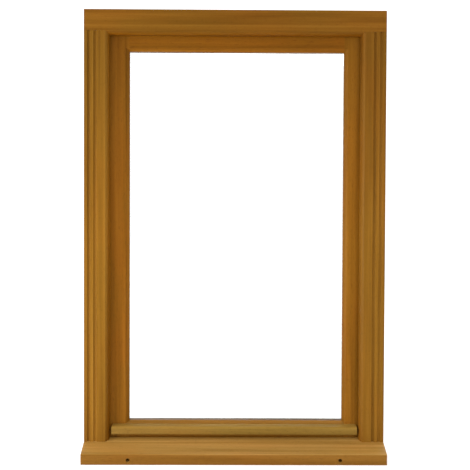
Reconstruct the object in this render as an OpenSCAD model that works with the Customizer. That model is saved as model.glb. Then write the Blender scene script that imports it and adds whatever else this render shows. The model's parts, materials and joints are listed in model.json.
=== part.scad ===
// Single-leaf timber casement window that opens into the room.
// X runs across the window, Y from the weather side to the room, Z up. The origin is at the middle of the
// sill's underside, in the plane of the frame's weather face. The hinges are at +X, the bolt at -X.

/* [Frame] */
// Overall width, jamb to jamb
frame_w = 600; // [540:5:900]
// Overall height, underside of the sill to the top of the head
frame_h = 895; // [850:5:1300]
// Depth of the head and jambs, weather face to room face
frame_d = 68; // [68:1:72]
// Flat width of the head and jamb faces
face_w = 42; // [40:1:50]
// Width of the rounded moulding along the inner edge of the face
ovolo_w = 7.5; // [5:0.5:8]
// Angle at which the moulding leaves the face
ovolo_angle = 30; // [0:5:30]
// Depth of the lip that the sash closes against
lip_d = 18; // [17:0.5:18]
// How far the sash rebate is sunk behind the lip's inner edge
rebate = 13.5; // [13:0.5:14]
// Distance of the first groove from the jamb's outer edge
groove_1 = 9.5; // [8:0.5:11]
// Distance of the second groove from the jamb's outer edge
groove_2 = 22; // [19:0.5:24]
// Width of each groove
groove_w = 6.5; // [4:0.5:7]
// Depth of each groove
groove_deep = 2.6; // [1:0.1:3]

/* [Sill] */
// How far the nose stands out from the weather face
nose_out = 45; // [35:1:60]
// Height of the nose's front face
nose_h = 20.5; // [19:0.5:24]
// Height of the sill's slope at the back of the lip
slope_h = 40; // [39:0.5:41]
// Height of the ledge under the sash
ledge_h = 33; // [32:0.5:34]
// Distance of each drain hole from the middle of the sill
drain_x = 208; // [100:1:220]
// Diameter of a drain hole
drain_d = 8; // [6:0.5:8]

/* [Sash] */
// Gap between sash and frame at the head, the sill and the hinge side
sash_gap = 3; // [2.5:0.5:3]
// Gap between sash and frame on the bolt side, wider for the swing
lock_gap = 4; // [4:0.5:5]
// Gap for the seal between the lip and the sash
seal_gap = 4; // [4:0.5:5]
// Width of the stile that carries the bolt
lock_stile_w = 48; // [47:1:60]
// Width of the stile that carries the hinges
hinge_stile_w = 42; // [42:1:60]
// Height of the top rail
top_rail_h = 40; // [40:1:60]
// Height of the bottom rail
bottom_rail_h = 36; // [36:1:60]
// Thickness of the lip in front of the glass
glass_lip = 14; // [13:0.5:15]
// Depth of the glass pocket behind that lip
pocket = 12; // [11:0.5:13]
// Width of the splay along the glass
splay = 7.3; // [5:0.1:8]

/* [Drip bar] */
// Height of the bar's underside
bar_z = 48.5; // [47:0.5:52]
// Fall of the bar's top towards its front, in degrees
bar_fall = 14; // [5:1:25]
// Radius of the bar's nose
bar_round = 8; // [2:0.5:9]
// Total height of the bar where it meets the rail
bar_h = 18; // [17.5:0.5:18.5]
// How far the bar stands out from the sash
bar_out = 17; // [14:0.5:26]
// Gap between the bar and the lip on the bolt side
bar_lock_gap = 4.5; // [4.5:0.5:8]
// Gap between the bar and the lip on the hinge side
bar_hinge_gap = 3; // [2:0.5:6]

/* [Glazing] */
// Thickness of each pane
pane_t = 4; // [4:0.5:4]
// Width of the sealed cavity between the panes
cavity = 12; // [12:0.5:12]
// Gap between the panes' edges and the pocket
pane_gap = 2.5; // [2:0.5:3]
// How far the glazing beads stay below the lip's edge
bead_back = 3; // [2:0.5:4]

/* [Hinges] */
// Height of the middle of the lower hinge
hinge_low = 150; // [130:1:200]
// Distance of the middle of the upper hinge below the top of the frame
hinge_drop = 150; // [130:1:200]
// Radius of the hinge barrels
barrel_r = 6.5; // [6.5:0.1:6.5]
// Radius of the hinge pin
pin_r = 4; // [3:0.5:4]

/* [Bolt] */
// Height of the handle's axis
handle_z = 446; // [400:1:480]
// Radius of the bolt rods
rod_r = 4.5; // [4:0.5:4.5]
// Distance of the rods' axis from the sash's room face
rod_off = 8; // [8:0.5:8]
// Length of the lever from the handle's axis to its end ball
lever_len = 84; // [60:1:100]
// Radius of the fixing holes through the jambs
fixing_r = 4; // [3:0.5:5]

/* [Hidden] */
$fn = 48;
eps = 0.01;

half_w = frame_w / 2;
face_x = half_w - face_w;                 // inner edge of the flat face
lip_x = face_x - ovolo_w;                 // inner edge of the lip
rebate_x = lip_x + rebate;                // side of the sash rebate
face_z = frame_h - face_w;                // lower edge of the head's flat face
lip_z = face_z - ovolo_w;
rebate_z = lip_z + rebate;
ovolo_r = ovolo_w / (1 - sin(ovolo_angle));
ovolo_deep = ovolo_r * cos(ovolo_angle);   // depth at which the moulding runs into the lip's side
groove_circle_r = (groove_w * groove_w / 4 + groove_deep * groove_deep) / (2 * groove_deep);

slope = (slope_h - nose_h) / (nose_out + lip_d);
nose_round = 2.5;
gutter_y = [24, 34];
gutter_z = 24;
drain_z = 8.5;                            // height of a drain hole at the nose
throat_y = -35;                           // drip groove under the nose
water_bar_y = 40;                         // groove for a water bar under the sill

sash_y = lip_d + seal_gap;                // weather face of the sash
room_y = frame_d;                         // room face of frame and sash
sash_x0 = -rebate_x + lock_gap;
sash_x1 = rebate_x - sash_gap;
sash_z0 = ledge_h + sash_gap;
sash_z1 = rebate_z - sash_gap;
light_x0 = sash_x0 + lock_stile_w;        // edges of the daylight opening
light_x1 = sash_x1 - hinge_stile_w;
light_z0 = sash_z0 + bottom_rail_h;
light_z1 = sash_z1 - top_rail_h;
pocket_y = sash_y + glass_lip;
pocket_x0 = light_x0 - pocket;
pocket_x1 = light_x1 + pocket;
pocket_z0 = light_z0 - pocket;
pocket_z1 = light_z1 + pocket;

tape_t = 1.5;
outer_pane_y = pocket_y + tape_t;
inner_pane_y = outer_pane_y + pane_t + cavity;
bead_tape_t = 1;
bead_y = inner_pane_y + pane_t + bead_tape_t;
bead_d = room_y - bead_y;
sealant_w = 2.5;
spacer_w = 4.5;
bead_out = pocket - bead_back;            // height of a bead
bead_pin_r = 0.8;
bead_pin_grip = 9;                        // how far a bead's pin enters the sash
bead_pin_xs = [-160, 0, 160];
bead_pin_zs = [160, 330, 565, 735];
setting_block_l = 50;
setting_block_x = 150;                    // distance of a block from the middle of the sash
setting_block_z = 250;

tenon_y = [41, 55];
frame_tenon_w = 22;
frame_tenon_l = 28;
sill_tenon_l = 18;
sash_tenon_l = 26;
peg_r = 4;
peg_l = 30;

seal_stem = 4;
seal_stem_w = 2;
seal_lobe_r = (seal_gap - 0.3) / 2;       // the lobe stops 0.3 short of the sash
seal_w = 7;

bar_x = [-lip_x + bar_lock_gap, lip_x - bar_hinge_gap];
bar_end_r = 5.5;                          // rounding of the bar's two upper corners
bar_throat_r = 2.5;
tongue = 6;

leaf_t = 2.5;
hinge_x = (rebate_x + sash_x1) / 2;
hinge_y = room_y + barrel_r + 1;
knuckle_h = 37;
washer_h = 2;
hinge_zs = [hinge_low, frame_h - hinge_drop];
leaf_w = 24;
pin_play = 0.05;

bolt_x = (sash_x0 + pocket_x0) / 2 - 1;   // rods and handle run down the middle of the bare stile
rod_y = room_y + rod_off;
tooth_n = 12;
module_mm = 1;
pitch_r = tooth_n * module_mm / 2;
pressure = 20;
travel = PI * pitch_r;                    // half a turn of the handle
backlash = 0.15;
pinion_add = 0.8;
rack_add = 0.6;
root_play = 0.25;
gear_t = 8;
rack_back = 4;
case_w = 28;
case_h = 80;
case_d = 16;
case_wall = 2;
ear_l = 13;
rod_play = 0.1;
foot_z = [8.5, 16];                       // cranked foot of a rod, above or below the handle's axis
upper_tip = sash_z1 - 3;
lower_tip = sash_z0 + 4;
guide_zs = [100, 300, 600, 800];
guide_h = 14;
guide_w = 27;
keeper_h = 18;
keeper_plate_h = 26;
keeper_w = 34;
keeper_bore_r = rod_r + 0.5;
head_keeper_z = rebate_z + 15;
sill_keeper_z = 17;
handle_y = room_y + 38;
neck_r = 7.2;                             // neck of the lever, around the spindle
spindle_w = 5;

fixing_zs = [250, 650];
fixing_y = 34;

hinge_screw = [28, 2.2];                  // length and shank radius
plate_screw = [22, 2];
guide_screw = [18, 1.3];
guide_screw_x = 10.4;                     // distance of a screw from the rods' axis
keeper_screw_x = 12.3;

wood_face = "#96682c";
wood_sash = "#8f5e26";
wood_light = "#a77c3c";
brass = "#c9a24a";
seal_black = "#2a2522";
dark_bronze = "#4a3a28";
glass_tint = [0.80, 0.90, 0.88, 0.35];

// ---- helpers ----

module block(low, high) {
    translate(low) cube(high - low);
}

// A section drawn as (y, z), run along X
module along_x(x0, x1) {
    translate([x0, 0, 0]) rotate([90, 0, 90]) linear_extrude(x1 - x0) children();
}

// A section drawn as (x, z), run along Y
module along_y(y0, y1) {
    translate([0, y1, 0]) rotate([90, 0, 0]) linear_extrude(y1 - y0) children();
}

// A section drawn as (x, y), run along Z
module along_z(z0, z1) {
    translate([0, 0, z0]) linear_extrude(z1 - z0) children();
}

module rect(x0, y0, x1, y1) {
    translate([x0, y0]) square([x1 - x0, y1 - y0]);
}

module round_rect(x0, y0, x1, y1, r) {
    rect(x0 + r, y0, x1 - r, y1);
    rect(x0, y0 + r, x1, y1 - r);
    for (x = [x0 + r, x1 - r], y = [y0 + r, y1 - r]) translate([x, y]) circle(r);
}

// Countersunk screw of a size [length, shank radius], its head flush at the origin and its point along +Z
module screw_body(size) {
    l = size[0];
    r = size[1];
    rotate_extrude() polygon([[0, 0], [2 * r, 0], [r, r], [r, l - 2 * r], [0, l]]);
}

module screw(size) {
    r = size[1];
    difference() {
        screw_body(size);
        translate([-2 * r, -0.25 * r, -eps]) cube([4 * r, 0.5 * r, 0.4 * r]);
    }
}

// Points +Z of its children along -Y: what is driven from the room into the wood
module into_room_face(p) {
    translate(p) rotate([90, 0, 0]) children();
}

function arc(cx, cy, r, a0, a1, n = 6) =
    [for (i = [0:n]) let (a = a0 + (a1 - a0) * i / n) [cx + r * cos(a), cy + r * sin(a)]];

// ---- frame ----

// Moulded edge of the lip: u from the lip's inner edge towards the face, v from the weather face into the frame
module moulding() {
    intersection() {
        rect(0, 0, ovolo_w + 1, lip_d);
        union() {
            translate([ovolo_r, ovolo_deep]) circle(ovolo_r);
            rect(0, ovolo_deep, ovolo_w + 1, lip_d);
            rect(ovolo_w, 0, ovolo_w + 1, lip_d);
        }
    }
}

// Jamb section in plan for the +X side: flat face, moulding, lip, rebate, two grooves
module jamb_section() {
    difference() {
        union() {
            rect(rebate_x, 0, half_w, room_y);
            rect(face_x, 0, half_w, lip_d);
            translate([lip_x, 0]) moulding();
        }
        for (g = [groove_1, groove_2])
            translate([half_w - g, groove_deep - groove_circle_r]) circle(groove_circle_r);
        translate([(lip_x + rebate_x - seal_stem_w) / 2, lip_d - seal_stem])
            square([seal_stem_w, seal_stem + eps]);
    }
}

function slope_z(y) = nose_h + slope * (y + nose_out);

// Sill section as (y, z): rounded nose, slope up to the back of the lip, then the ledge under the sash
module sill_section() {
    a = atan(slope);
    cy = -nose_out + nose_round;
    cz = slope_z(cy) - nose_round / cos(a);
    difference() {
        polygon(concat(
            [[-nose_out, 0]],
            arc(cy, cz, nose_round, 180, 90 + a),
            [[lip_d, slope_h], [lip_d, ledge_h], [room_y, ledge_h], [room_y, 0]]
        ));
        translate([throat_y, 0]) circle(3);
        rect(water_bar_y, -eps, water_bar_y + 6, 8);
    }
}

// Tenons of a +X jamb: one up into the head, one down into the sill
module jamb_tenons() {
    x0 = rebate_x + 6;
    block([x0, tenon_y[0], face_z - eps], [x0 + frame_tenon_w, tenon_y[1], face_z + frame_tenon_l]);
    block([x0, tenon_y[0], ledge_h - sill_tenon_l], [x0 + frame_tenon_w, tenon_y[1], ledge_h + eps]);
}

// Pegs driven from the room face through each tenon
module frame_peg_shapes() {
    for (s = [-1, 1], z = [ledge_h - sill_tenon_l / 2, face_z + frame_tenon_l / 2])
        into_room_face([s * (rebate_x + 6 + frame_tenon_w / 2), room_y, z]) cylinder(h = peg_l, r = peg_r);
}

module fixing_holes() {
    for (z = fixing_zs) translate([rebate_x - 1, fixing_y, z]) rotate([0, 90, 0])
        cylinder(h = half_w - rebate_x + 2, r = fixing_r);
}

// The +X jamb, whole: it stands on the sill, its moulding is mitred to the head's
module jamb() {
    difference() {
        union() {
            difference() {
                along_z(ledge_h, face_z) jamb_section();
                along_x(lip_x - 1, half_w + 1) polygon([
                    [-1, 0], [-1, slope_z(-1)], [lip_d, slope_h], [lip_d, 0]
                ]);
                along_y(-1, lip_d + eps) polygon([
                    [lip_x - 1, lip_z - 1], [face_x, face_z], [face_x, face_z + 1], [lip_x - 1, face_z + 1]
                ]);
            }
            jamb_tenons();
        }
        fixing_holes();
    }
}

module hinge_jamb() {
    color(wood_face) difference() {
        jamb();
        frame_peg_shapes();
        for (z = hinge_zs) frame_leaf_screws(z) screw_body(hinge_screw);
    }
}

module lock_jamb() {
    color(wood_face) difference() {
        mirror([1, 0, 0]) jamb();
        frame_peg_shapes();
    }
}

module head() {
    color(wood_face) difference() {
        union() {
            block([-half_w, 0, face_z], [half_w, room_y, frame_h]);
            intersection() {
                along_y(0, lip_d) polygon([
                    [-face_x, face_z + eps], [face_x, face_z + eps], [face_x, face_z], [lip_x, lip_z],
                    [-lip_x, lip_z], [-face_x, face_z]
                ]);
                along_x(-face_x, face_x) translate([0, lip_z]) mirror([1, -1]) moulding();
            }
        }
        block([-rebate_x, lip_d, face_z - 1], [rebate_x, room_y + 1, rebate_z]);
        block([-lip_x, lip_d - seal_stem, rebate_z - (rebate + seal_stem_w) / 2],
              [lip_x, lip_d + eps, rebate_z - (rebate - seal_stem_w) / 2]);
        for (s = [0, 1]) mirror([s, 0, 0]) jamb_tenons();
        frame_peg_shapes();
        keeper_screw_shapes(head_keeper_z) screw_body(plate_screw);
    }
}

// A drain hole climbs from the nose to the gutter
module drain_hole(x) {
    run = gutter_y[0] + nose_out;
    rise = gutter_z + drain_d / 2 - drain_z;
    translate([x, -nose_out, drain_z]) rotate([-90 + atan(rise / run), 0, 0]) translate([0, 0, -5])
        cylinder(h = sqrt(run * run + rise * rise) + 8, r = drain_d / 2);
}

module sill() {
    color(wood_light) difference() {
        along_x(-half_w, half_w) sill_section();
        block([-lip_x, gutter_y[0], gutter_z], [lip_x, gutter_y[1], ledge_h + 1]);
        block([-lip_x, lip_d - seal_stem, sash_z0 - seal_stem_w / 2 + 0.5],
              [lip_x, lip_d + eps, sash_z0 + seal_stem_w / 2 + 0.5]);
        for (s = [-1, 1]) drain_hole(s * drain_x);
        for (s = [0, 1]) mirror([s, 0, 0]) jamb_tenons();
        frame_peg_shapes();
        keeper_screw_shapes(sill_keeper_z) screw_body(plate_screw);
    }
}

module frame_pegs() {
    color(wood_light) frame_peg_shapes();
}

// ---- seals ----

// Seal section: stem in the kerf, flange and lobe in the gap; u runs along the lip's back, v towards the sash
module seal_section(w) {
    rect(-seal_stem_w / 2, -seal_stem, seal_stem_w / 2, eps);
    rect(-w / 2, 0, w / 2, 1);
    difference() {
        translate([0, seal_lobe_r]) circle(seal_lobe_r);
        translate([0, seal_lobe_r]) circle(seal_lobe_r / 2);
    }
}

module side_seal() {
    translate([(lip_x + rebate_x) / 2, lip_d, 0]) along_z(slope_h + 1, lip_z - 0.5) seal_section(seal_w);
}

module hinge_side_seal() {
    color(seal_black) side_seal();
}

module lock_side_seal() {
    color(seal_black) mirror([1, 0, 0]) side_seal();
}

module head_seal() {
    color(seal_black) translate([0, lip_d, (lip_z + rebate_z) / 2])
        along_x(-lip_x, lip_x) rotate(90) mirror([0, 1]) seal_section(seal_w);
}

module sill_seal() {
    color(seal_black) translate([0, lip_d, sash_z0 + 0.5])
        along_x(-lip_x, lip_x) rotate(90) mirror([0, 1]) seal_section(5);
}

// ---- sash ----

// The splayed opening on the weather side, cut from all four members so that the splays meet in mitres
module splay_cut() {
    intersection() {
        along_x(light_x0 - splay, light_x1 + splay) polygon([
            [sash_y - eps, light_z0 - splay], [sash_y + splay, light_z0],
            [sash_y + splay, light_z1], [sash_y - eps, light_z1 + splay]
        ]);
        along_z(light_z0 - splay, light_z1 + splay) polygon([
            [light_x0 - splay, sash_y - eps], [light_x0, sash_y + splay],
            [light_x1, sash_y + splay], [light_x1 + splay, sash_y - eps]
        ]);
    }
}

// Tenons of a rail, on both of its ends
module rail_tenons(z0, z1) {
    block([pocket_x0 - sash_tenon_l, tenon_y[0], z0], [pocket_x0 + eps, tenon_y[1], z1]);
    block([pocket_x1 - eps, tenon_y[0], z0], [pocket_x1 + sash_tenon_l, tenon_y[1], z1]);
}

top_tenon = [pocket_z1 + 4, sash_z1 - 6];
bottom_tenon = [sash_z0 + 6, pocket_z0 - 4];

module sash_peg_shapes() {
    for (x = [pocket_x0 - sash_tenon_l / 2, pocket_x1 + sash_tenon_l / 2], t = [top_tenon, bottom_tenon])
        into_room_face([x, room_y, (t[0] + t[1]) / 2]) cylinder(h = peg_l, r = peg_r);
}

module top_rail() {
    color(wood_sash) difference() {
        union() {
            block([light_x0, sash_y, light_z1], [light_x1, pocket_y, sash_z1]);
            block([pocket_x0, pocket_y - eps, pocket_z1], [pocket_x1, room_y, sash_z1]);
            rail_tenons(top_tenon[0], top_tenon[1]);
        }
        block([pocket_x0 - 1, pocket_y - 1, pocket_z1 - 1], [light_x0, pocket_y, sash_z1 + 1]);
        block([light_x1, pocket_y - 1, pocket_z1 - 1], [pocket_x1 + 1, pocket_y, sash_z1 + 1]);
        splay_cut();
        sash_peg_shapes();
        bead_pin_shapes();
    }
}

module bottom_rail() {
    color(wood_sash) difference() {
        union() {
            block([light_x0, sash_y, sash_z0], [light_x1, pocket_y, light_z0]);
            block([pocket_x0, pocket_y - eps, sash_z0], [pocket_x1, room_y, pocket_z0]);
            rail_tenons(bottom_tenon[0], bottom_tenon[1]);
        }
        block([pocket_x0 - 1, pocket_y - 1, sash_z0 - 1], [light_x0, pocket_y, light_z0 + 1]);
        block([light_x1, pocket_y - 1, sash_z0 - 1], [pocket_x1 + 1, pocket_y, light_z0 + 1]);
        splay_cut();
        sash_peg_shapes();
        bead_pin_shapes();
        bar_tongue();
    }
}

module lock_stile() {
    color(wood_sash) difference() {
        along_z(sash_z0, sash_z1) union() {
            rect(sash_x0, sash_y, light_x0, pocket_y);
            rect(sash_x0, sash_y, pocket_x0, room_y);
        }
        splay_cut();
        rail_tenons(top_tenon[0], top_tenon[1]);
        rail_tenons(bottom_tenon[0], bottom_tenon[1]);
        sash_peg_shapes();
        bead_pin_shapes();
        case_screw_shapes() screw_body(plate_screw);
        guide_screw_shapes() screw_body(guide_screw);
    }
}

module hinge_stile() {
    color(wood_sash) difference() {
        along_z(sash_z0, sash_z1) union() {
            rect(light_x1, sash_y, sash_x1, pocket_y);
            rect(pocket_x1, sash_y, sash_x1, room_y);
        }
        splay_cut();
        rail_tenons(top_tenon[0], top_tenon[1]);
        rail_tenons(bottom_tenon[0], bottom_tenon[1]);
        sash_peg_shapes();
        bead_pin_shapes();
        for (z = hinge_zs) sash_leaf_screws(z) screw_body(hinge_screw);
    }
}

module sash_pegs() {
    color(wood_light) sash_peg_shapes();
}

// ---- drip bar ----

// Tongue along the bar's back, glued into a groove of the bottom rail
module bar_tongue() {
    block([light_x0, sash_y - eps, bar_z + 4], [light_x1, sash_y + tongue, bar_z + 4 + tongue]);
}

module bar_body() {
    front = sash_y - bar_out;
    top_z = bar_z + bar_h;
    nose_y = front + bar_round;
    nose_z = top_z - tan(bar_fall) * (sash_y - nose_y) - bar_round / cos(bar_fall);
    intersection() {
        along_x(bar_x[0], bar_x[1]) polygon(concat(
            [[front, bar_z]],
            arc(nose_y, nose_z, bar_round, 180, 90 + bar_fall, 12),
            [[sash_y, top_z], [sash_y, bar_z]]
        ));
        along_y(front - 1, sash_y + 1)
            round_rect(bar_x[0], bar_z - 2 * bar_end_r, bar_x[1], top_z + 0.5, bar_end_r);
    }
}

module drip_bar() {
    color(wood_light) difference() {
        union() {
            bar_tongue();
            bar_body();
        }
        translate([0, sash_y - bar_out + 6, bar_z]) rotate([0, 90, 0])
            cylinder(h = 2 * frame_w, r = bar_throat_r, center = true);
    }
}

// ---- glazing ----

module pane(y) {
    color(glass_tint) block([pocket_x0 + pane_gap, y, pocket_z0 + pane_gap],
                            [pocket_x1 - pane_gap, y + pane_t, pocket_z1 - pane_gap]);
}

module outer_pane() {
    pane(outer_pane_y);
}

module inner_pane() {
    pane(inner_pane_y);
}

// Four straight strips around a rectangle that is inset from the pocket, each w wide and w apart at the corners
module strips(inset, w, y0, y1) {
    x0 = pocket_x0 + inset;
    x1 = pocket_x1 - inset;
    z0 = pocket_z0 + inset;
    z1 = pocket_z1 - inset;
    block([x0, y0, z0], [x1, y1, z0 + w]);
    block([x0, y0, z1 - w], [x1, y1, z1]);
    block([x0, y0, z0 + w], [x0 + w, y1, z1 - w]);
    block([x1 - w, y0, z0 + w], [x1, y1, z1 - w]);
}

cavity_y = outer_pane_y + pane_t;

module edge_sealant() {
    color(seal_black) strips(pane_gap, sealant_w, cavity_y, inner_pane_y);
}

module spacer_bars() {
    color(dark_bronze) strips(pane_gap + sealant_w, spacer_w, cavity_y, inner_pane_y);
}

module outer_tapes() {
    color(seal_black) strips(pane_gap, pocket - pane_gap - 1, pocket_y, outer_pane_y);
}

module inner_tapes() {
    color(seal_black) strips(pane_gap, bead_out - pane_gap - 0.5, bead_y - bead_tape_t, bead_y);
}

module setting_blocks() {
    mid_z = (pocket_z0 + pocket_z1) / 2;
    half = setting_block_l / 2;
    y1 = bead_y - bead_tape_t;
    color("dimgray") {
        for (x = [-setting_block_x, setting_block_x], z = [pocket_z0, pocket_z1 - pane_gap])
            block([x - half, outer_pane_y, z], [x + half, y1, z + pane_gap]);
        for (z = [mid_z - setting_block_z, mid_z + setting_block_z], x = [pocket_x0, pocket_x1 - pane_gap])
            block([x, outer_pane_y, z - half], [x + pane_gap, y1, z + half]);
    }
}

// Glazing bead of length len, mitred at both ends, its outer edge along X and its inner edge towards +Z
module bead(len) {
    difference() {
        along_x(0, len) difference() {
            rect(bead_y, 0, room_y, bead_out);
            translate([room_y, bead_out]) rotate(45) square(6, center = true);
        }
        along_y(bead_y - 1, room_y + 1) polygon([[-1, -1], [bead_out + 1, bead_out + 1], [-1, bead_out + 1]]);
        along_y(bead_y - 1, room_y + 1) polygon([
            [len + 1, -1], [len + 1, bead_out + 1], [len - bead_out - 1, bead_out + 1]
        ]);
    }
}

bead_w = pocket_x1 - pocket_x0;
bead_h = pocket_z1 - pocket_z0;

// Brads through the beads into the sash, in the plane of the beads
module bead_pin_shapes() {
    y = bead_y + bead_d / 2 - 1;
    l = bead_pin_grip + bead_out;
    for (x = bead_pin_xs, z = [pocket_z0 - bead_pin_grip, pocket_z1 - bead_out])
        translate([x, y, z]) cylinder(h = l, r = bead_pin_r);
    for (z = bead_pin_zs, x = [pocket_x0 - bead_pin_grip, pocket_x1 - bead_out])
        translate([x, y, z]) rotate([0, 90, 0]) cylinder(h = l, r = bead_pin_r);
}

module bead_pins() {
    color("gray") bead_pin_shapes();
}

module bottom_bead() {
    color(wood_sash) difference() {
        translate([pocket_x0, 0, pocket_z0]) bead(bead_w);
        bead_pin_shapes();
    }
}

module top_bead() {
    color(wood_sash) difference() {
        translate([pocket_x0, 0, pocket_z1]) mirror([0, 0, 1]) bead(bead_w);
        bead_pin_shapes();
    }
}

module lock_side_bead() {
    color(wood_sash) difference() {
        translate([pocket_x0, 0, pocket_z1]) rotate([0, 90, 0]) bead(bead_h);
        bead_pin_shapes();
    }
}

module hinge_side_bead() {
    color(wood_sash) difference() {
        translate([pocket_x1, 0, pocket_z0]) rotate([0, -90, 0]) bead(bead_h);
        bead_pin_shapes();
    }
}

// ---- hinges ----

// Plan of a hinge leaf on the +X side of its barrel, with the barrel at the origin
module leaf_plan() {
    back = room_y - hinge_y;
    circle(barrel_r);
    polygon([[1, -6], [3.2, back], [4, back], [8, back + leaf_t], [6, -1.5], [0, 0]]);
    rect(3.2, back, 8, back + leaf_t);
}

// One half of a lift-off hinge from z0 to z1: barrel, web and leaf
module hinge_half(z0, z1) {
    back = room_y - hinge_y;
    along_z(z0, z1) leaf_plan();
    along_y(back, back + leaf_t) round_rect(3.2, z0, 6 + leaf_w, z1, 3);
}

// Screw places of a leaf, in the hinge's own frame, for the +X side
leaf_screws = [[12, 7], [12, 30], [23, 18.5]];

module frame_leaf_screws(z) {
    for (p = leaf_screws)
        into_room_face([hinge_x + p[0], room_y + leaf_t, z - washer_h / 2 - p[1]]) children();
}

module sash_leaf_screws(z) {
    for (p = leaf_screws)
        into_room_face([hinge_x - p[0], room_y + leaf_t, z + washer_h / 2 + p[1]]) children();
}

module frame_leaf(z) {
    color(brass) difference() {
        translate([hinge_x, hinge_y, z]) {
            hinge_half(-washer_h / 2 - knuckle_h, -washer_h / 2);
        }
        translate([hinge_x, hinge_y, z - 60]) cylinder(h = 120, r = pin_r);
        frame_leaf_screws(z) screw_body(hinge_screw);
    }
}

module sash_leaf(z) {
    low = washer_h / 2 + 0.2;
    high = washer_h / 2 + knuckle_h;
    color(brass) difference() {
        union() {
            translate([hinge_x, hinge_y, z]) mirror([1, 0, 0]) hinge_half(low, high);
            translate([hinge_x, hinge_y, z + high - eps]) cylinder(h = 2 + eps, r1 = barrel_r, r2 = 3.5);
            translate([hinge_x, hinge_y, z + high + 4]) sphere(4);
        }
        translate([hinge_x, hinge_y, z]) cylinder(h = knuckle_h - 3, r = pin_r + pin_play);
        sash_leaf_screws(z) screw_body(hinge_screw);
    }
}

module lower_hinge_frame_leaf() {
    frame_leaf(hinge_zs[0]);
}

module upper_hinge_frame_leaf() {
    frame_leaf(hinge_zs[1]);
}

module lower_hinge_sash_leaf() {
    sash_leaf(hinge_zs[0]);
}

module upper_hinge_sash_leaf() {
    sash_leaf(hinge_zs[1]);
}

// Each pin ends in a turned foot below its knuckle
module hinge_pins() {
    foot = -washer_h / 2 - knuckle_h;
    color(brass) for (z = hinge_zs) translate([hinge_x, hinge_y, z]) {
        translate([0, 0, foot]) cylinder(h = knuckle_h + washer_h / 2 + knuckle_h - 5, r = pin_r);
        translate([0, 0, foot - 2]) cylinder(h = 2, r1 = 3.5, r2 = barrel_r);
        translate([0, 0, foot - 4]) sphere(4);
    }
}

module hinge_washers() {
    color(brass) for (z = hinge_zs) translate([hinge_x, hinge_y, z - washer_h / 2]) difference() {
        cylinder(h = washer_h, r = barrel_r);
        translate([0, 0, -1]) cylinder(h = washer_h + 2, r = pin_r);
    }
}

module frame_hinge_screws() {
    color(brass) for (z = hinge_zs) frame_leaf_screws(z) screw(hinge_screw);
}

module sash_hinge_screws() {
    color(brass) for (z = hinge_zs) sash_leaf_screws(z) screw(hinge_screw);
}

// ---- bolt ----

// Saddle over a rod: base plate on the room face, arch above it, bore for the rod; z is its middle
module saddle(z, plate_w, plate_h, h, bore_r) {
    arch_r = rod_r + 3;
    translate([bolt_x, 0, z]) difference() {
        union() {
            along_y(room_y, room_y + 2) round_rect(-plate_w / 2, -plate_h / 2, plate_w / 2, plate_h / 2, 2.5);
            block([-arch_r, room_y, -h / 2], [arch_r, rod_y, h / 2]);
            translate([0, rod_y, -h / 2]) cylinder(h = h, r = arch_r);
        }
        translate([0, rod_y, -h]) cylinder(h = 2 * h, r = bore_r);
    }
}

module guide_screw_shapes() {
    for (z = guide_zs, s = [-1, 1]) into_room_face([bolt_x + s * guide_screw_x, room_y + 2, z]) children();
}

module rod_guides() {
    color(brass) difference() {
        for (z = guide_zs) saddle(z, guide_w, guide_h, guide_h, rod_r + rod_play);
        guide_screw_shapes() screw_body(guide_screw);
    }
}

module guide_screws() {
    color(brass) guide_screw_shapes() screw(guide_screw);
}

module keeper_screw_shapes(z) {
    for (s = [-1, 1]) into_room_face([bolt_x + s * keeper_screw_x, room_y + 2, z]) children();
}

module keeper(z) {
    color(brass) difference() {
        saddle(z, keeper_w, keeper_plate_h, keeper_h, keeper_bore_r);
        keeper_screw_shapes(z) screw_body(plate_screw);
    }
}

module head_keeper() {
    keeper(head_keeper_z);
}

module sill_keeper() {
    keeper(sill_keeper_z);
}

module keeper_screws() {
    color(brass) for (z = [head_keeper_z, sill_keeper_z]) keeper_screw_shapes(z) screw(plate_screw);
}

module case_screw_shapes() {
    for (s = [-1, 1])
        into_room_face([bolt_x, room_y + 2, handle_z + s * (case_h / 2 + ear_l / 2)]) children();
}

// Case: an open-backed box with an ear at each end, over rack and pinion
module bolt_case() {
    color(brass) difference() {
        translate([bolt_x, 0, handle_z]) difference() {
            union() {
                along_y(room_y, room_y + case_d)
                    round_rect(-case_w / 2, -case_h / 2, case_w / 2, case_h / 2, 4);
                along_y(room_y, room_y + 2)
                    round_rect(-8, -case_h / 2 - ear_l, 8, case_h / 2 + ear_l, 3);
                along_y(room_y + case_d - eps, room_y + case_d + 1.5) circle(11);
            }
            block([-case_w / 2 + case_wall, room_y - 1, -case_h / 2 + case_wall],
                  [case_w / 2 - case_wall, room_y + case_d - case_wall, case_h / 2 - case_wall]);
            translate([0, rod_y, -case_h]) cylinder(h = 2 * case_h, r = rod_r + rod_play);
            along_y(room_y, room_y + case_d + 5) circle(5 + pin_play);
        }
        case_screw_shapes() screw_body(plate_screw);
    }
}

module case_screws() {
    color(brass) case_screw_shapes() screw(plate_screw);
}

// Involute pinion with a square hole and a hub that turns in the case's front
function involute_angle(r, base_r) =
    r <= base_r ? 0 : let (a = acos(base_r / r)) tan(a) * 180 / PI - a;

function flank(r) =
    let (base_r = pitch_r * cos(pressure))
    (PI * module_mm / 2 - backlash) / (2 * pitch_r) * 180 / PI
    + involute_angle(pitch_r, base_r) - involute_angle(r, base_r);

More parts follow.
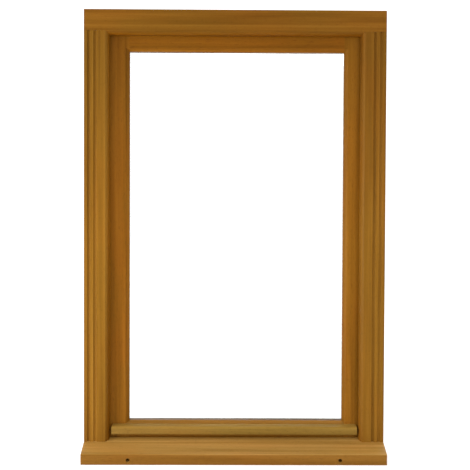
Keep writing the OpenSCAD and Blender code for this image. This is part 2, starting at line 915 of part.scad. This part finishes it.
module pinion_section() {
    root_r = pitch_r - rack_add - root_play;
    tip_r = pitch_r + pinion_add;
    base_r = pitch_r * cos(pressure);
    radii = [root_r, base_r, (base_r + pitch_r) / 2, pitch_r, (pitch_r + tip_r) / 2, tip_r];
    polygon([
        for (k = [0:tooth_n - 1]) let (mid = k * 360 / tooth_n) each concat(
            [for (i = [0:5]) radii[i] * [cos(mid - flank(radii[i])), sin(mid - flank(radii[i]))]],
            [for (i = [5:-1:0]) radii[i] * [cos(mid + flank(radii[i])), sin(mid + flank(radii[i]))]]
        )
    ]);
}

module spindle_square(play = 0) {
    square(spindle_w + 2 * play, center = true);
}

module pinion() {
    color("silver") translate([bolt_x, 0, handle_z]) difference() {
        union() {
            along_y(rod_y - gear_t / 2, rod_y + gear_t / 2) pinion_section();
            along_y(rod_y - gear_t / 2 - 3, room_y + case_d + 1) circle(5);
        }
        along_y(room_y, room_y + case_d + 2) spindle_square();
    }
}

// Rack on the -X side of the pinion, its teeth towards +X, and the arm that cranks over to the rod, as the
// upper rod has it
module rack_section() {
    half_tooth = (PI * module_mm / 2 - backlash) / 2;
    root = -pitch_r - pinion_add - root_play;
    tip = -pitch_r + rack_add;
    half_root = half_tooth - tan(pressure) * (root + pitch_r);
    half_tip = half_tooth - tan(pressure) * (tip + pitch_r);
    back = root - rack_back;
    pitch = PI * module_mm;
    polygon(concat(
        [[back, foot_z[1]], [back, -7.5 * pitch - half_root]],
        [for (k = [-7.5:0.5]) each [
            [root, k * pitch - half_root], [tip, k * pitch - half_tip],
            [tip, k * pitch + half_tip], [root, k * pitch + half_root]
        ]],
        [[root, foot_z[0]], [1 - rod_r, foot_z[0]], [1 - rod_r, foot_z[1]]]
    ));
}

module rack() {
    along_y(rod_y - gear_t / 2, rod_y + gear_t / 2) rack_section();
}

// Rod of radius rod_r from its cranked foot to a tip that narrows into the keeper
module rod(len) {
    translate([0, rod_y, foot_z[0]]) rotate_extrude()
        polygon([[0, 0], [rod_r, 0], [rod_r, len - 3], [rod_r - 1.5, len], [0, len]]);
}

// The rod's foot is notched where the rack's arm is let into it
module upper_rod() {
    color(brass) translate([bolt_x, 0, handle_z]) difference() {
        rod(upper_tip - handle_z - foot_z[0]);
        rack();
    }
}

module upper_rack() {
    color("silver") translate([bolt_x, 0, handle_z]) rack();
}

module lower_rod() {
    color(brass) translate([bolt_x, 0, handle_z]) rotate([0, 180, 0]) difference() {
        rod(handle_z - lower_tip - foot_z[0]);
        rack();
    }
}

module lower_rack() {
    color("silver") translate([bolt_x, 0, handle_z]) rotate([0, 180, 0]) rack();
}

module handle_spindle() {
    color("silver") translate([bolt_x, 0, handle_z])
        along_y(rod_y - gear_t / 2 - 2, handle_y - 4) spindle_square();
}

module grub_place() {
    translate([bolt_x, room_y + 28, handle_z - neck_r]) children();
}

// Lever: rose and neck on the handle's axis, then a turned grip that rises to an end ball
module handle_lever() {
    rose_y = room_y + case_d + 2;
    color(brass) difference() {
        translate([bolt_x, 0, handle_z]) {
            along_y(rose_y, rose_y + 2) circle(10);
            along_y(rose_y, handle_y) circle(neck_r);
            translate([0, handle_y, 0]) {
                sphere(9);
                translate([0, 0, 4]) cylinder(h = 26, r1 = 7, r2 = 4.6);
                translate([0, 0, 30]) cylinder(h = lever_len - 30, r1 = 4.6, r2 = 7);
                translate([0, 0, lever_len]) sphere(7.6);
            }
        }
        translate([bolt_x, 0, handle_z]) along_y(rose_y - 1, handle_y - 4) spindle_square();
        grub_place() cylinder(h = neck_r - spindle_w / 2, r = 2);
    }
}

module grub_screw() {
    color("silver") grub_place() difference() {
        cylinder(h = neck_r - spindle_w / 2, r = 2);
        translate([-2, -0.3, -eps]) cube([4, 0.6, 1]);
    }
}

head();
hinge_jamb();
lock_jamb();
sill();
frame_pegs();
head_seal();
hinge_side_seal();
lock_side_seal();
sill_seal();
top_rail();
bottom_rail();
hinge_stile();
lock_stile();
sash_pegs();
drip_bar();
outer_pane();
inner_pane();
spacer_bars();
edge_sealant();
outer_tapes();
inner_tapes();
setting_blocks();
top_bead();
bottom_bead();
hinge_side_bead();
lock_side_bead();
bead_pins();
lower_hinge_frame_leaf();
upper_hinge_frame_leaf();
lower_hinge_sash_leaf();
upper_hinge_sash_leaf();
hinge_pins();
hinge_washers();
frame_hinge_screws();
sash_hinge_screws();
bolt_case();
case_screws();
rod_guides();
guide_screws();
head_keeper();
sill_keeper();
keeper_screws();
handle_lever();
handle_spindle();
pinion();
grub_screw();
upper_rod();
upper_rack();
lower_rod();
lower_rack();
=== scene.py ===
"""Looks for the casement window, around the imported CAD.

Camera, procedural materials, softened edges and studio.
"""

import json
import math

import bpy
from mathutils import Matrix, Vector


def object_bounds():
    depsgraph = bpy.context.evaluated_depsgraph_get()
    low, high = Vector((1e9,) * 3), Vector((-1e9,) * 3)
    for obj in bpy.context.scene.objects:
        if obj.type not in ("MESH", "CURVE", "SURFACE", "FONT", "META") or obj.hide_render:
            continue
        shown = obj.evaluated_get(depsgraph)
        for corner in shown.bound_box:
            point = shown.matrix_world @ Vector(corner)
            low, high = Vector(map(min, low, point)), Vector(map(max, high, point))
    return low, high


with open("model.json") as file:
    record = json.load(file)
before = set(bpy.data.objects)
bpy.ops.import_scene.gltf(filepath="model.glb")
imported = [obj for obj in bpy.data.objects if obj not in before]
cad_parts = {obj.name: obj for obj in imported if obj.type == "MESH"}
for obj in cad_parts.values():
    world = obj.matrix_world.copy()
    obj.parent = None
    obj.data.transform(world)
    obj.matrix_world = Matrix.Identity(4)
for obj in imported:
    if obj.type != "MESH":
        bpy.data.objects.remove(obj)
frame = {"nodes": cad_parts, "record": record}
cad_low, cad_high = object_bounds()
nodes = frame["nodes"]
scene = bpy.context.scene

# ---- camera ----

IMAGE_PX = 470
FOCAL_PX = 953.7
SENSOR_MM = 36
CAMERA_PLACE = Vector((-0.0173, -1.898, 0.5005))
CAMERA_YAW = -0.0094
CAMERA_PITCH = -0.027
CAMERA_ROLL = -0.0042


def make_camera():
    data = bpy.data.cameras.new("camera")
    data.sensor_width = SENSOR_MM
    data.lens = FOCAL_PX / IMAGE_PX * SENSOR_MM
    data.clip_start = 0.05
    data.clip_end = 60
    camera = bpy.data.objects.new("camera", data)
    scene.collection.objects.link(camera)
    turn = Matrix.Rotation(CAMERA_YAW, 4, "Z") @ Matrix.Rotation(CAMERA_PITCH, 4, "X")
    turn = turn @ Matrix.Rotation(CAMERA_ROLL, 4, "Y") @ Matrix.Rotation(math.pi / 2, 4, "X")
    camera.matrix_world = Matrix.Translation(CAMERA_PLACE) @ turn
    scene.camera = camera


make_camera()

# ---- small node-graph helpers ----


class Graph:
    """A material's node tree, with short calls that add a node and return its output."""

    def __init__(self, name):
        self.material = bpy.data.materials.new(name)
        self.material.use_nodes = True
        self.tree = self.material.node_tree
        self.shader = self.tree.nodes["Principled BSDF"]

    def set(self, **values):
        for name, value in values.items():
            self.shader.inputs[name.replace("_", " ")].default_value = value

    def plug(self, value, socket):
        if isinstance(value, bpy.types.NodeSocket):
            self.tree.links.new(value, socket)
        else:
            socket.default_value = value

    def place(self):
        return self.tree.nodes.new("ShaderNodeTexCoord").outputs["Object"]

    def scaled(self, vector, scale, offset=(0, 0, 0)):
        node = self.tree.nodes.new("ShaderNodeMapping")
        node.inputs["Location"].default_value = offset
        node.inputs["Scale"].default_value = scale
        self.plug(vector, node.inputs["Vector"])
        return node.outputs["Vector"]

    def noise(self, vector, scale=1.0, detail=3.0, roughness=0.5, distortion=0.0):
        node = self.tree.nodes.new("ShaderNodeTexNoise")
        node.inputs["Scale"].default_value = scale
        node.inputs["Detail"].default_value = detail
        node.inputs["Roughness"].default_value = roughness
        node.inputs["Distortion"].default_value = distortion
        self.plug(vector, node.inputs["Vector"])
        return node.outputs["Fac"]

    def ramp(self, value, *stops):
        """Linear ramp; each stop is (position, colour or grey)."""
        node = self.tree.nodes.new("ShaderNodeValToRGB")
        ramp = node.color_ramp
        while len(ramp.elements) < len(stops):
            ramp.elements.new(0.5)
        for element, (position, colour) in zip(ramp.elements, stops):
            element.position = position
            grey = isinstance(colour, (int, float))
            element.color = (colour, colour, colour, 1) if grey else (*colour, 1)
        self.plug(value, node.inputs["Fac"])
        return node.outputs["Color"]

    def mix(self, amount, a, b, kind="MIX"):
        node = self.tree.nodes.new("ShaderNodeMix")
        node.data_type = "RGBA"
        node.blend_type = kind
        self.plug(amount, node.inputs["Factor"])
        self.plug((*a, 1) if isinstance(a, tuple) else a, node.inputs["A"])
        self.plug((*b, 1) if isinstance(b, tuple) else b, node.inputs["B"])
        return node.outputs["Result"]

    def tinted(self, amount, colour, tint):
        """The colour, multiplied by the tint as far as the amount says."""
        return self.mix(amount, colour, self.mix(1.0, colour, tint, "MULTIPLY"))

    def math(self, kind, a, b):
        node = self.tree.nodes.new("ShaderNodeMath")
        node.operation = kind
        self.plug(a, node.inputs[0])
        self.plug(b, node.inputs[1])
        return node.outputs["Value"]

    def span(self, value, low, high):
        """Maps 0 to 1 onto low to high."""
        node = self.tree.nodes.new("ShaderNodeMapRange")
        node.inputs["To Min"].default_value = low
        node.inputs["To Max"].default_value = high
        self.plug(value, node.inputs["Value"])
        return node.outputs["Result"]

    def component(self, vector, axis):
        """The X, Y or Z part of a vector."""
        node = self.tree.nodes.new("ShaderNodeSeparateXYZ")
        self.plug(vector, node.inputs["Vector"])
        return node.outputs[axis]

    def facing_up(self):
        """The upward part of the surface's normal."""
        return self.component(self.tree.nodes.new("ShaderNodeNewGeometry").outputs["Normal"], "Z")

    def colour(self, output):
        self.tree.links.new(output, self.shader.inputs["Base Color"])

    def roughness(self, output):
        self.tree.links.new(output, self.shader.inputs["Roughness"])

    def bump(self, relief, distance, strength):
        node = self.tree.nodes.new("ShaderNodeBump")
        node.inputs["Strength"].default_value = strength
        node.inputs["Distance"].default_value = distance
        self.tree.links.new(relief, node.inputs["Height"])
        self.tree.links.new(node.outputs["Normal"], self.shader.inputs["Normal"])


# ---- materials ----

AXIS_INDEX = {"x": 0, "y": 1, "z": 2}
VARNISH_TINT = (1.0, 0.72, 0.36, 1)
# Painted shade by height in metres: the wood is made darker towards the bottom and the top
SHADE_BY_HEIGHT = ((0.0, 0.82), (0.02, 0.93), (0.45, 1.0), (0.82, 0.75))
# Painted shade in the recesses: how far it reaches, by depth in metres behind the weather face
BEHIND_FACE = ((0.0005, 0.0), (0.006, 1.0))


def stretched(axis, across, along):
    """Texture scale per metre, fine across the grain and long along it."""
    scale = [across, across, across]
    scale[AXIS_INDEX[axis]] = along
    return scale


def wood(name, axis, seed, tones, origin):
    """Varnished straight-grained hardwood whose fibres run along one axis."""
    dark, base, light, upward, recess_shade = tones
    g = Graph(name)
    shift = (seed * 1.37, seed * 2.11, seed * 0.73)
    place = g.scaled(g.place(), (1, 1, 1), shift)
    # Slow drift of the colour, growth rings, fibres, open pores and cloudy patches
    drift = g.noise(g.scaled(place, stretched(axis, 9, 1.2)), 1, 2)
    rings = g.noise(g.scaled(place, stretched(axis, 75, 1.6)), 1, 3, 0.55, 0.35)
    fibres = g.noise(g.scaled(place, stretched(axis, 620, 14)), 1, 4, 0.65, 0.2)
    pores = g.noise(g.scaled(place, stretched(axis, 2300, 120)), 1, 1, 0.5)
    cloud = g.noise(g.scaled(place, stretched(axis, 16, 5)), 1, 2, 0.6)

    body = g.ramp(rings, (0.3, dark), (0.5, base), (0.72, light))
    body = g.tinted(g.span(fibres, 0.0, 0.75), body, (0.62, 0.56, 0.5))
    body = g.tinted(g.ramp(cloud, (0.45, 0.0), (0.75, 0.4)), body, (1.12, 0.86, 0.7))
    body = g.tinted(g.ramp(drift, (0.45, 0.0), (0.7, 0.4)), body, (0.86, 0.98, 0.8))
    # Painted shade: darker by height towards the bottom and the top, and in the recesses behind
    # the face; painted light and sheen: paler on faces that look up
    height = g.math("ADD", g.component(g.place(), "Z"), origin.z)
    body = g.mix(1.0, body, g.ramp(height, *SHADE_BY_HEIGHT), "MULTIPLY")
    # Painted shade in the recesses behind the weather face
    depth = g.math("ADD", g.component(g.place(), "Y"), origin.y)
    body = g.tinted(g.ramp(depth, *BEHIND_FACE), body, recess_shade)
    # Painted light and sheen on faces that look up: paler and whiter
    body = g.tinted(g.ramp(g.facing_up(), (0.3, 0.0), (0.85, 1.0)), body, upward)
    pore_mask = g.ramp(pores, (0.64, 0.0), (0.7, 1.0))
    body = g.tinted(g.math("MULTIPLY", pore_mask, 0.55), body, (0.3, 0.22, 0.16))
    g.colour(body)

    g.roughness(g.math("ADD", g.span(fibres, 0.34, 0.5), g.math("MULTIPLY", pore_mask, 0.15)))
    relief = g.math("SUBTRACT", g.math("MULTIPLY", fibres, 0.6), pore_mask)
    g.bump(relief, 0.00008, 0.6)
    g.set(Specular_IOR_Level=0.15, Specular_Tint=VARNISH_TINT)
    return g.material


def brass():
    """Satin brass, lightly tarnished."""
    g = Graph("satin_brass")
    place = g.place()
    tarnish = g.noise(place, 55, 4, 0.6)
    brushing = g.noise(g.scaled(place, stretched("z", 1500, 60)), 1, 2)
    g.colour(g.ramp(
        tarnish,
        (0.3, (0.33, 0.205, 0.045)), (0.55, (0.40, 0.255, 0.060)), (0.75, (0.44, 0.285, 0.075)),
    ))
    g.roughness(g.math("ADD", g.span(tarnish, 0.42, 0.28), g.span(brushing, 0.0, 0.1)))
    g.bump(brushing, 0.00002, 0.5)
    g.set(Metallic=1.0)
    return g.material


def zinc_steel():
    """Zinc-plated steel with a fine spangle."""
    g = Graph("zinc_steel")
    spangle = g.noise(g.place(), 260, 3, 0.6)
    g.colour(g.ramp(spangle, (0.35, (0.36, 0.37, 0.38)), (0.7, (0.58, 0.59, 0.6))))
    g.roughness(g.span(spangle, 0.28, 0.45))
    g.bump(spangle, 0.00002, 0.4)
    g.set(Metallic=1.0)
    return g.material


def rubber():
    """Matt black seal with a little dust."""
    g = Graph("seal_rubber")
    dust = g.noise(g.place(), 420, 4, 0.65)
    g.colour(g.ramp(dust, (0.4, (0.014, 0.012, 0.011)), (0.75, (0.035, 0.031, 0.028))))
    g.roughness(g.span(dust, 0.55, 0.75))
    g.bump(dust, 0.00004, 0.5)
    return g.material


def dark_bronze():
    """Matt dark bronze coating of the spacer bars."""
    g = Graph("spacer_bronze")
    grain = g.noise(g.place(), 700, 3, 0.6)
    g.colour(g.ramp(grain, (0.3, (0.030, 0.017, 0.008)), (0.7, (0.050, 0.028, 0.013))))
    g.roughness(g.span(grain, 0.5, 0.65))
    g.bump(grain, 0.00002, 0.4)
    return g.material


def block_plastic():
    """Dark matt plastic of the setting blocks."""
    g = Graph("block_plastic")
    grain = g.noise(g.place(), 500, 3, 0.6)
    g.colour(g.ramp(grain, (0.3, (0.05, 0.05, 0.055)), (0.7, (0.09, 0.09, 0.1))))
    g.roughness(g.span(grain, 0.5, 0.65))
    g.bump(grain, 0.00005, 0.4)
    return g.material


def glass():
    """Clear float glass: the faintest green, with a slow waviness in its gloss."""
    g = Graph("float_glass")
    wave = g.noise(g.place(), 6, 1)
    g.colour(g.ramp(wave, (0.3, (0.97, 0.99, 0.98)), (0.7, (0.99, 1.0, 0.995))))
    g.roughness(g.span(wave, 0.0, 0.012))
    g.set(Transmission_Weight=1.0, IOR=1.5)
    return g.material


# Colours of the varnished wood: dark, base and light, then the painted light and sheen on faces
# that look up and the painted shade in recesses behind the face
AS_FACE = (1.0, 1.0, 1.0)
FACE = (
    (0.20, 0.086, 0.008), (0.28, 0.125, 0.012), (0.36, 0.172, 0.022),
    (1.7, 1.95, 3.0), (0.92, 0.76, 0.30),
)
# Darker copy of the face wood for the hinge jamb: painted shade, with less painted shade in its
# recesses
FACE_SHADED = (
    (0.18, 0.077, 0.007), (0.255, 0.110, 0.010), (0.33, 0.152, 0.019),
    (1.7, 1.95, 3.0), (0.97, 0.92, 0.80),
)
HEAD = (
    (0.20, 0.080, 0.006), (0.285, 0.117, 0.0105), (0.37, 0.163, 0.020),
    (1.7, 1.95, 3.0), (0.92, 0.76, 0.30),
)
SASH = (
    (0.215, 0.082, 0.0045), (0.295, 0.112, 0.008), (0.36, 0.144, 0.013),
    (1.2, 1.5, 4.2), AS_FACE,
)
# Lighter copy of the sash wood for the top rail: painted light on the rail under the head
SASH_LIT = (
    (0.23, 0.085, 0.005), (0.315, 0.113, 0.007), (0.39, 0.147, 0.012),
    (1.3, 1.6, 4.5), AS_FACE,
)
SILL = (
    (0.19, 0.079, 0.009), (0.245, 0.105, 0.014), (0.31, 0.140, 0.023),
    (2.05, 2.55, 4.2), AS_FACE,
)
BAR = (
    (0.20, 0.110, 0.017), (0.26, 0.150, 0.027), (0.32, 0.190, 0.042),
    (1.65, 1.65, 1.8), AS_FACE,
)

# Grain direction, seed of the figure and colours of each wooden piece
WOOD_MEMBERS = {
    "head": ("x", 1, HEAD),
    "hinge_jamb": ("z", 2, FACE_SHADED),
    "lock_jamb": ("z", 3, FACE),
    "sill": ("x", 4, SILL),
    "frame_pegs": ("y", 5, BAR),
    "top_rail": ("x", 6, SASH_LIT),
    "bottom_rail": ("x", 7, SASH),
    "hinge_stile": ("z", 8, SASH),
    "lock_stile": ("z", 9, SASH),
    "sash_pegs": ("y", 10, BAR),
    "drip_bar": ("x", 11, BAR),
    "top_bead": ("x", 12, SASH),
    "bottom_bead": ("x", 13, SASH),
    "hinge_side_bead": ("z", 14, SASH),
    "lock_side_bead": ("z", 15, SASH),
}


def material_of_each_slot():
    return {
        "seal_rubber": rubber(),
        "glass": glass(),
        "spacer": dark_bronze(),
        "block_plastic": block_plastic(),
        "brass": brass(),
        "steel": zinc_steel(),
    }


def dress_nodes():
    by_slot = material_of_each_slot()
    slot_of = {s["node"]: s["material_slot"] for s in frame["record"]["subparts"]}
    for name, obj in nodes.items():
        if name in WOOD_MEMBERS:
            axis, seed, tones = WOOD_MEMBERS[name]
            material = wood("wood_" + name, axis, seed, tones, obj.matrix_world.translation)
        else:
            material = by_slot[slot_of[name]]
        obj.data.materials.clear()
        obj.data.materials.append(material)


dress_nodes()

# ---- softened edges ----

EDGE_ANGLE = math.radians(28)
WELD_DISTANCE = 1e-5
WOOD_EDGE = 0.0008
BRASS_EDGE = 0.0005
BRASS_PLATES = ("bolt_case", "head_keeper", "sill_keeper", "rod_guides")


def soften(name, width):
    """Welds the imported faces and rounds the sharp edges, with modifiers only."""
    obj = nodes[name]
    weld = obj.modifiers.new("weld", "WELD")
    weld.merge_threshold = WELD_DISTANCE
    bevel = obj.modifiers.new("bevel", "BEVEL")
    bevel.width = width
    bevel.segments = 2
    bevel.limit_method = "ANGLE"
    bevel.angle_limit = EDGE_ANGLE
    bevel.use_clamp_overlap = True
    bevel.harden_normals = False
    smooth = obj.modifiers.new("normals", "WEIGHTED_NORMAL")
    smooth.keep_sharp = False


def soften_edges():
    for name in WOOD_MEMBERS:
        if "pegs" not in name:
            soften(name, WOOD_EDGE)
    for name in BRASS_PLATES:
        soften(name, BRASS_EDGE)


soften_edges()

# ---- studio ----

STAGE_HALF_WIDTH = 7.0
STAGE_FRONT = -9.0
STAGE_BACK = 6.0
STAGE_CURVE = 1.2
STAGE_HEIGHT = 7.0
CURVE_STEPS = 12
# Glow of the floor by distance in metres along Y from its start: less of it in front of the window
GLOW_START = -0.7
GLOW = ((0.1, 0.05), (0.6, 0.42))
WORLD_STRENGTH = 0.83
LIGHT_TARGET = (0, 0, 0.45)


def stage_material():
    """White that glows a little, so that it stays white behind the window."""
    g = Graph("studio_white")
    mottle = g.noise(g.place(), 3, 2)
    g.colour(g.ramp(mottle, (0.3, 0.86), (0.7, 0.9)))
    distance = g.math("SUBTRACT", g.component(g.place(), "Y"), GLOW_START)
    g.plug(g.ramp(distance, *GLOW), g.shader.inputs["Emission Strength"])
    g.set(Roughness=0.9, Emission_Color=(1, 1, 1, 1))
    return g.material


def make_studio():
    """A pale floor that curves up into a backdrop."""
    floor_z = cad_low.z
    profile = [(STAGE_FRONT, floor_z)]
    for i in range(CURVE_STEPS + 1):
        a = i / CURVE_STEPS * math.pi / 2
        y = STAGE_BACK - STAGE_CURVE + STAGE_CURVE * math.sin(a)
        profile.append((y, floor_z + STAGE_CURVE - STAGE_CURVE * math.cos(a)))
    profile.append((STAGE_BACK, floor_z + STAGE_HEIGHT))
    verts = [(x, y, z) for y, z in profile for x in (-STAGE_HALF_WIDTH, STAGE_HALF_WIDTH)]
    faces = [(2 * i, 2 * i + 1, 2 * i + 3, 2 * i + 2) for i in range(len(profile) - 1)]
    mesh = bpy.data.meshes.new("studio")
    mesh.from_pydata(verts, [], faces)
    mesh.polygons.foreach_set("use_smooth", [True] * len(faces))
    mesh.materials.append(stage_material())
    obj = bpy.data.objects.new("studio", mesh)
    scene.collection.objects.link(obj)


def area_light(name, place, size, power):
    """A square light of the given side in metres and power in watts, aimed at the window."""
    data = bpy.data.lights.new(name, "AREA")
    data.shape = "SQUARE"
    data.size = size
    data.energy = power
    obj = bpy.data.objects.new(name, data)
    obj.location = place
    obj.rotation_euler = (Vector(LIGHT_TARGET) - Vector(place)).to_track_quat("-Z", "Y").to_euler()
    scene.collection.objects.link(obj)


def make_lights():
    """Soft light from the left, less of it from the right, and one light for the room side."""
    area_light("key", (-1.7, -0.8, 0.4), 0.9, 24)
    area_light("near_key", (-1.0, -0.95, 0.35), 0.8, 3.2)
    area_light("fill", (0.95, -1.0, 0.35), 0.8, 5)
    area_light("room_side", (0.8, 3.2, 2.4), 2.4, 14)
    world = bpy.data.worlds.new("studio")
    world.use_nodes = True
    background = world.node_tree.nodes["Background"]
    background.inputs["Color"].default_value = (1, 1, 1, 1)
    background.inputs["Strength"].default_value = WORLD_STRENGTH
    scene.world = world


make_studio()
make_lights()
scene.view_settings.view_transform = "Standard"
